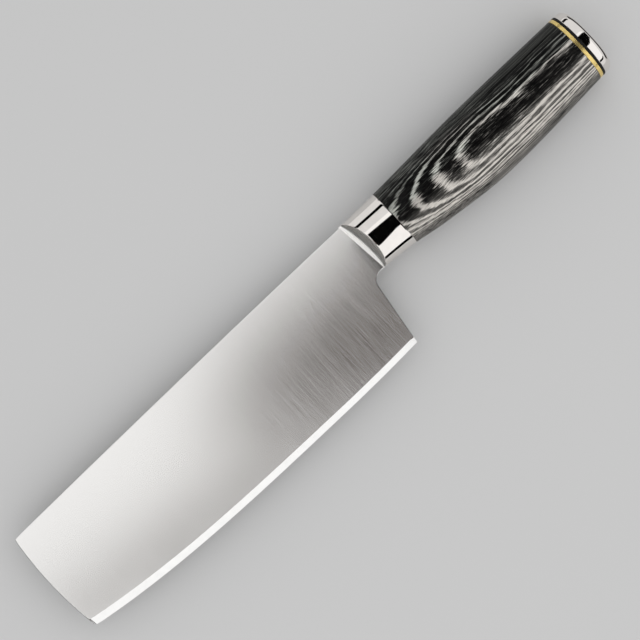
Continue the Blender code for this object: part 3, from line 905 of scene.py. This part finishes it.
def studio_floor(name, colour):
    graph = Finish(name)
    place = graph.add("ShaderNodeTexCoord", out="Object")
    mottle = graph.add("ShaderNodeTexNoise", {"Vector": place, "Scale": 3.0, "Detail": 2.0})
    tone = graph.blend(mottle, colour, shaded(colour, 0.985))
    return graph.shade({"Base Color": tone, "Roughness": 0.9, "Specular IOR Level": 0.0})


def matt_card(name, colour):
    graph = Finish(name)
    return graph.shade({"Base Color": (*colour, 1.0), "Roughness": 1.0, "Specular IOR Level": 0.0})


# What a user would change


def colour_property(name, description, default):
    return bpy.props.FloatVectorProperty(
        name=name, description=description, subtype="COLOR", size=3, default=default, min=0.0, max=1.0
    )


def number_property(name, description, default, **settings):
    return bpy.props.FloatProperty(name=name, description=description, default=default, min=0.0, **settings)


def length_property(name, description, default):
    return number_property(name, description, default, unit="LENGTH")


def share_property(name, description, default):
    return number_property(name, description, default, max=1.0, subtype="FACTOR")


class NakiriBladeSettings(bpy.types.PropertyGroup):
    colour: colour_property("Blade Steel", "Colour of the satin blade", (0.88, 0.87, 0.855))
    edge_colour: colour_property("Bevel Steel", "Colour of the bevel and chamfers", (0.90, 0.895, 0.885))
    roughness: share_property("Satin", "Roughness of the ground cheeks", 0.24)
    chamfer: length_property("Chamfer", "Rounding of the spine, front and heel", 0.28 * MM)
    shoulder: length_property("Bevel Shoulder", "Half width of the soft line over the bevel", 0.08 * MM)


class NakiriBolsterSettings(bpy.types.PropertyGroup):
    colour: colour_property("Bolster Steel", "Colour of the polished bolster and cap", (0.85, 0.815, 0.78))
    roughness: share_property("Polish", "Roughness of the mirror finish", 0.06)
    dip: length_property("Crest Dip", "How far polishing has worn down the crest", 0.15 * MM)
    dip_reach: length_property("Crest Dip Reach", "How far behind the crest that wear fades", 0.12 * MM)


class NakiriHandleSettings(bpy.types.PropertyGroup):
    dark: colour_property("Dark Veneer", "Colour of the black veneers", (0.0015, 0.0015, 0.0015))
    pale: colour_property("Pale Veneer", "Colour of the grey veneers", (0.68, 0.66, 0.64))
    layer: length_property("Veneer", "Thickness of one veneer", 0.333 * MM)
    brass: colour_property("Brass", "Colour of the spacer ring", (0.92, 0.70, 0.26))
    fibre: colour_property("Fibre", "Colour of the liner", (0.006, 0.006, 0.006))
    corner: length_property("Corner", "Rounding of each slice of the handle at its ends", 0.14 * MM)
    cap_corner: length_property("Cap Corner", "Rounding of the cap's rim", 3.0 * MM)
    cap_dome: length_property("Cap Dome", "How far the cap's face bulges", 1.0 * MM)


class NakiriStageSettings(bpy.types.PropertyGroup):
    floor: colour_property("Floor", "Colour of the floor", (0.60, 0.60, 0.60))
    distance: length_property("Camera Distance", "From the camera to the blade", 0.85)
    ceiling: number_property("Ceiling Light", "Brightness of the soft light overhead; 1 is white", 0.26)
    room: number_property("Room Light", "Brightness of the room around; 1 is white", 0.82)


# Operators


class NAKIRI_OT_blade(bpy.types.Operator):
    """Make the satin blade with its polished bevel"""

    bl_idname = "nakiri.blade"
    bl_label = "Blade"

    def execute(self, context):
        settings = context.scene.nakiri_blade
        piece = new_piece("satin_blade", blade_mesh(settings.chamfer, settings.shoulder))
        ground = satin_steel("ground_steel", settings.colour, settings.roughness)
        bevel = polished_steel("bevel_steel", settings.edge_colour, BEVEL_ROUGHNESS)
        for finish in (ground, bevel):
            piece.data.materials.append(finish)
        stand_for(piece, "blade", "blade_steel")
        return {"FINISHED"}


class NAKIRI_OT_bolster(bpy.types.Operator):
    """Make the polished bolster with its satin scoop"""

    bl_idname = "nakiri.bolster"
    bl_label = "Bolster"

    def execute(self, context):
        settings = context.scene.nakiri_bolster
        length = -BOLSTER_FRONT + JOINT
        piece = new_piece("polished_bolster", bolster_mesh(length, settings.dip, settings.dip_reach))
        finish = polished_steel("bolster_mirror", settings.colour, settings.roughness, scooped=True)
        piece.data.materials.append(finish)
        stand_for(piece, "bolster", "bolster_steel")
        return {"FINISHED"}


class NAKIRI_OT_grip(bpy.types.Operator):
    """Make the laminated wood grip, bored for the rod and its nut"""

    bl_idname = "nakiri.grip"
    bl_label = "Grip"

    def execute(self, context):
        settings = context.scene.nakiri_handle
        wood = laminated_wood("laminated_wood", settings.dark, settings.pale, settings.layer)
        piece = slice_of_handle(
            "wood_grip",
            wood,
            start=GRIP_FRONT - JOINT,
            end=GRIP_END + JOINT,
            end_rows=FRONT_ROWS,
            rows=96,
        )
        past_end = GRIP_END + POCKET_DEPTH
        bore = (BORE_RADIUS, GRIP_FRONT - POCKET_DEPTH, past_end)
        with_rods(piece, [bore, (POCKET_RADIUS, GRIP_END - POCKET_DEPTH, past_end)])
        stand_for(piece, "grip", "grip_wood")
        return {"FINISHED"}


class NAKIRI_OT_collars(bpy.types.Operator):
    """Make the brass spacer ring and the black fibre liner"""

    bl_idname = "nakiri.collars"
    bl_label = "Ring and Liner"

    def execute(self, context):
        settings = context.scene.nakiri_handle
        collars = (
            ("brass_ring", "spacer_ring", "ring_brass", brass, settings.brass),
            ("black_liner", "fibre_liner", "liner_fibre", pressed_fibre, settings.fibre),
        )
        for name, node, slot, make_finish, colour in collars:
            start, end = front_of(node), end_of(node)
            piece = slice_of_handle(
                name,
                make_finish(slot, colour),
                start=start - JOINT,
                end=end + JOINT,
                end_rows=0.3,
                rows=16,
            )
            with_rods(piece, [(BOSS_RADIUS + 2 * JOINT, start - OVERSHOOT, end + OVERSHOOT)])
            stand_for(piece, node, slot)
        return {"FINISHED"}


class NAKIRI_OT_end_cap(bpy.types.Operator):
    """Make the polished end cap with its hollow boss"""

    bl_idname = "nakiri.end_cap"
    bl_label = "End Cap"

    def execute(self, context):
        settings = context.scene.nakiri_handle
        steel = context.scene.nakiri_bolster
        piece = slice_of_handle(
            "polished_end_cap",
            polished_steel("cap_mirror", steel.colour, steel.roughness),
            start=LINER_END + JOINT,
            end=CAP_END,
            end_corner=settings.cap_corner,
            end_turn=CAP_RIM_TURN,
            end_rows=0.6,
            dome=settings.cap_dome,
            rows=48,
        )
        with_rods(piece, [(BOSS_RADIUS, BOSS_FRONT, CAP_END - settings.cap_corner)], "UNION")
        bore_end = BOSS_FRONT + BOSS_LENGTH + BOSS_BORE_IN_CAP
        with_rods(piece, [(BOSS_BORE_RADIUS, BOSS_FRONT - OVERSHOOT, bore_end)])
        stand_for(piece, "end_cap", "cap_steel")
        return {"FINISHED"}


class NAKIRI_OT_inner_parts(bpy.types.Operator):
    """Give the rod, its bedding, the washer and the nut their finishes"""

    bl_idname = "nakiri.inner_parts"
    bl_label = "Inner Parts"

    def execute(self, context):
        zinc = hidden_metal("zinc_plate", (0.62, 0.63, 0.66), roughness=0.35, grain=(0.5, 3.0, 3.0))
        drawn = hidden_metal("drawn_steel", (0.48, 0.47, 0.46), roughness=0.45, grain=(0.1, 6.0, 6.0))
        finishes = {
            "tang_rod": drawn,
            "tang_bedding": cured_glue("cured_glue", (0.55, 0.48, 0.34)),
            "tang_washer": zinc,
            "tang_nut": zinc,
        }
        for node, finish in finishes.items():
            solid = frame["nodes"][node]
            if solid.material_slots:
                solid.material_slots[0].material = finish
            else:
                solid.data.materials.append(finish)
        return {"FINISHED"}


class NAKIRI_OT_stage(bpy.types.Operator):
    """Set up the pale floor, the soft light and the camera"""

    bl_idname = "nakiri.stage"
    bl_label = "Stage"

    def execute(self, context):
        settings = context.scene.nakiri_stage
        context.scene.view_settings.view_transform = "Standard"
        make_floor(settings.floor)
        make_room(context.scene, settings.room)
        make_ceiling(settings.ceiling)
        make_cards()
        make_camera(context.scene, settings.distance)
        return {"FINISHED"}


def make_panel(name, corners, finish):
    """A flat stage panel through the corners."""
    mesh = bpy.data.meshes.new(name)
    mesh.from_pydata([Vector(corner) for corner in corners], [], [range(len(corners))])
    mesh.materials.append(finish)
    panel = new_piece(name, mesh)
    return panel


def make_floor(colour):
    corners = [(FLOOR_REACH * x, FLOOR_REACH * y, 0) for x, y in ((-1, -1), (1, -1), (1, 1), (-1, 1))]
    make_panel("floor", corners, studio_floor("floor_paint", colour))


def make_room(scene, brightness):
    world = bpy.data.worlds.new("room")
    world.use_nodes = True
    background = world.node_tree.nodes["Background"]
    background.inputs["Color"].default_value = (1.0, 1.0, 1.0, 1.0)
    background.inputs["Strength"].default_value = brightness
    scene.world = world


def make_ceiling(brightness):
    """One soft rectangular light over the knife, set off to the side of the cutting edge."""
    light = bpy.data.lights.new("ceiling", "AREA")
    light.shape = "RECTANGLE"
    light.size, light.size_y = CEILING_SIZE
    light.energy = brightness * math.pi * light.size * light.size_y  # watts, for that brightness of its face
    lamp = bpy.data.objects.new("ceiling", light)
    lamp.location = CEILING_PLACE
    lamp.visible_camera = False
    bpy.context.scene.collection.objects.link(lamp)


def rounded_outline(corners, radius):
    """A level outline with its corners rounded."""
    points = []
    for i, corner in enumerate(corners):
        points += rounded(corners[i - 1], corner, corners[(i + 1) % len(corners)], radius, 6)
    return points


def level_card(height, outline):
    """Corners of a card that lies flat over the floor."""
    return [(x, y, height) for x, y in outline]


def upright_card(y, start, end, low, high):
    """Corners of a card that stands along X."""
    return [(start, y, low), (end, y, low), (end, y, high), (start, y, high)]


# Heights of the level cards over the floor
BOLSTER_CARD_HEIGHT = 0.045
HANDLE_CARD_HEIGHT = 0.084
HEEL_CARD_HEIGHT = 0.3
SPINE_CARD_HEIGHT = 0.9
BUTT_CARD_HEIGHT = 0.002

BOLSTER_CARD = rounded_outline([(0.0292, -0.0012), (0.05, 0.0075), (0.05, 0.0186), (0.0292, 0.0205)], 0.003)
HANDLE_CARD = [(0.036, -0.0066), (0.25, 0.0092), (0.6, 0.005), (0.6, 0.06), (0.25, 0.0308), (0.036, 0.0235)]
GRIP_CARD = [(0.055, -0.06), (0.148, -0.06), (0.148, 0.09), (0.055, 0.09)]
HEEL_CARD = [
    (-0.135, -0.066),
    (0.038, -0.066),  # the notch from here on keeps the bevel bright
    (0.038, -0.2),
    (0.14, -0.2),
    (0.14, 0.014),
    (-0.045, 0.013),
    (-0.094, -0.006),
    (-0.033, -0.048),  # this bite leaves a paler streak between the blade's middle and its lower part
    (-0.1, -0.031),
    (-0.3, -0.004),
]
SPINE_CARD = [(-1.2, 0.79), (0.2, 0.79), (0.2, 1.18), (-1.2, 1.18)]
BUTT_CARD = [(0.18, -0.02), (0.6, -0.4), (0.6, 0.45), (0.18, 0.05)]
CARDS = {
    "over_bolster": level_card(BOLSTER_CARD_HEIGHT, BOLSTER_CARD),
    "over_handle": level_card(HANDLE_CARD_HEIGHT, HANDLE_CARD),
    "over_grip": level_card(HANDLE_CARD_HEIGHT, GRIP_CARD),
    "over_heel": level_card(HEEL_CARD_HEIGHT, HEEL_CARD),
    "before_tip": [(-0.9, -0.5, 0.03), (-0.9, 0.5, 0.03), (-0.9, 0.5, 0.96), (-0.9, -0.5, 0.96)],
    "bolster_spine_side": level_card(SPINE_CARD_HEIGHT, SPINE_CARD),
    "bolster_edge_side": upright_card(-1.6, -0.6, 0.25, 0.07, 0.56),
    "cap_spine_side": upright_card(2.0, 0.3, 1.4, 0.28, 0.72),
    "beyond_butt": level_card(BUTT_CARD_HEIGHT, BUTT_CARD),
    "cap_edge_side": upright_card(-1.6, 0.3, 1.4, 0.58, 0.88),
}


def make_cards():
    """Dark cards that only shiny surfaces see. They give the steel its stripes and its soft, warm shading."""
    black = matt_card("black_card", (0.0, 0.0, 0.0))
    special = {
        "over_heel": matt_card("brown_card", (0.072, 0.043, 0.029)),
        "before_tip": matt_card("grey_card", (0.14, 0.14, 0.137)),
        "beyond_butt": matt_card("dark_card", (0.05, 0.05, 0.05)),
    }
    for name, corners in CARDS.items():
        card = make_panel("card_" + name, corners, special.get(name, black))
        card.visible_camera = False
        card.visible_diffuse = False
        card.visible_shadow = False
        card.visible_transmission = False


def make_camera(scene, distance):
    data = bpy.data.cameras.new("photo_camera")
    data.sensor_width = SENSOR
    data.lens = SENSOR * distance / PHOTO_WIDTH
    data.clip_start = distance / 100
    data.clip_end = distance * 100
    camera = bpy.data.objects.new("photo_camera", data)
    camera.location = PHOTO_CENTRE + Vector((0, 0, distance))
    camera.rotation_euler = (0, 0, PHOTO_TURN)
    scene.collection.objects.link(camera)
    scene.camera = camera


class NAKIRI_PT_pieces(bpy.types.Panel):
    """Lists the knife's pieces and their settings"""

    bl_idname = "NAKIRI_PT_pieces"
    bl_label = "Nakiri Knife"
    bl_space_type = "VIEW_3D"
    bl_region_type = "UI"
    bl_category = "Nakiri"

    def draw(self, context):
        for group in SETTINGS:
            box = self.layout.box()
            settings = getattr(context.scene, group)
            for name in settings.__annotations__:
                box.prop(settings, name)
        for operator in OPERATORS:
            self.layout.operator(operator.bl_idname)


SETTINGS = {
    "nakiri_blade": NakiriBladeSettings,
    "nakiri_bolster": NakiriBolsterSettings,
    "nakiri_handle": NakiriHandleSettings,
    "nakiri_stage": NakiriStageSettings,
}
OPERATORS = (
    NAKIRI_OT_blade,
    NAKIRI_OT_bolster,
    NAKIRI_OT_grip,
    NAKIRI_OT_collars,
    NAKIRI_OT_end_cap,
    NAKIRI_OT_inner_parts,
    NAKIRI_OT_stage,
)


def register():
    for group in SETTINGS.values():
        bpy.utils.register_class(group)
    for operator in OPERATORS:
        bpy.utils.register_class(operator)
    bpy.utils.register_class(NAKIRI_PT_pieces)
    for name, group in SETTINGS.items():
        setattr(bpy.types.Scene, name, bpy.props.PointerProperty(type=group))


def unregister():
    for name in SETTINGS:
        delattr(bpy.types.Scene, name)
    bpy.utils.unregister_class(NAKIRI_PT_pieces)
    for group in [*OPERATORS, *SETTINGS.values()]:
        bpy.utils.unregister_class(group)


def main():
    register()
    bpy.ops.nakiri.blade()
    bpy.ops.nakiri.bolster()
    bpy.ops.nakiri.grip()
    bpy.ops.nakiri.collars()
    bpy.ops.nakiri.end_cap()
    bpy.ops.nakiri.inner_parts()
    bpy.ops.nakiri.stage()


if __name__ == "__main__":
    main()
